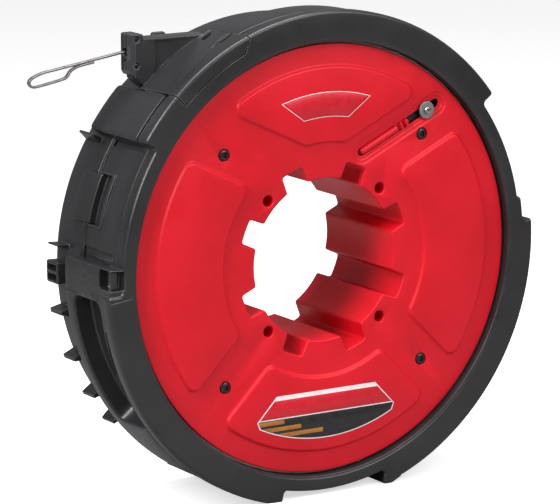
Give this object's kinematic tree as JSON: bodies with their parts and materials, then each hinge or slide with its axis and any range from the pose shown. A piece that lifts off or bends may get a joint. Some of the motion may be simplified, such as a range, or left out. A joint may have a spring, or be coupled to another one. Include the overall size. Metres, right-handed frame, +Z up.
{
  "type": "fish tape reel",
  "caption": "Drum reel of flat steel fish tape: a red keyed hub with flanges turns in a black ring housing, and the tape leaves through a side nozzle to a bent eye.",
  "frame": {"origin": "middle of the bounding box's base; the drum's axis is 14.3 mm to +X of it and 167.5 mm above it", "axes": "+Z up, -Y towards the viewer and out of the drum's front flange, +X to the right; the drum turns about Y and the tape leaves towards -X"},
  "size_m": [0.3786, 0.0934, 0.3425],
  "materials": {
    "housing": "black glass-filled moulding, fine grain, semi-matt",
    "drum": "red moulding, satin",
    "tape": "spring steel, drawn, lightly oiled",
    "guide": "hardened steel, darkened",
    "bearing": "natural acetal",
    "washer": "dull zinc plate",
    "screw": "black oxide",
    "red_label": "printed film with a white outline, no lettering",
    "black_label": "printed film in red and black with amber blocks, no lettering"
  },
  "bodies": {
    "housing": {"front_shell": "housing", "rear_shell": "housing", "exit_cover": "housing", "nozzle_rear_half": "housing", "tape_guide": "guide", "nozzle_screw_upper": "screw", "nozzle_screw_lower": "screw", "snap_clip_left": "housing", "snap_clip_right": "housing", "snap_clip_bottom": "housing", "shell_screw_upper_right": "screw", "shell_screw_upper_left": "screw", "shell_screw_lower_left": "screw", "shell_screw_lower_right": "screw", "front_bearing_ring": "bearing", "rear_bearing_ring": "bearing"},
    "drum": {"drum_front": "drum", "drum_rear": "drum", "winding_core": "bearing", "tape_pack": "tape", "flange_screw_1": "screw", "flange_screw_2": "screw", "flange_screw_3": "screw", "flange_screw_4": "screw", "top_label": "red_label", "bottom_label": "black_label"},
    "anchor": {"anchor_slider": "drum", "anchor_washer": "washer", "anchor_screw": "screw", "anchor_clamp": "washer"},
    "tape": {"tape_leader": "tape"}
  },
  "joints": [
    {"name": "drum_spin", "type": "hinge", "parent": "housing", "child": "drum", "pos_m": [0.01432, 0.0017, 0.1675], "axis": [0, 1, 0], "continuous": true},
    {"name": "anchor_slide", "type": "slide", "parent": "drum", "child": "anchor", "axis": [0.9033, 0, 0.4289], "range_m": [0, 0.008]},
    {"name": "tape_feed", "type": "slide", "parent": "housing", "child": "tape", "axis": [-1, 0, 0], "range_m": [-0.01, 0.06]}
  ]
}
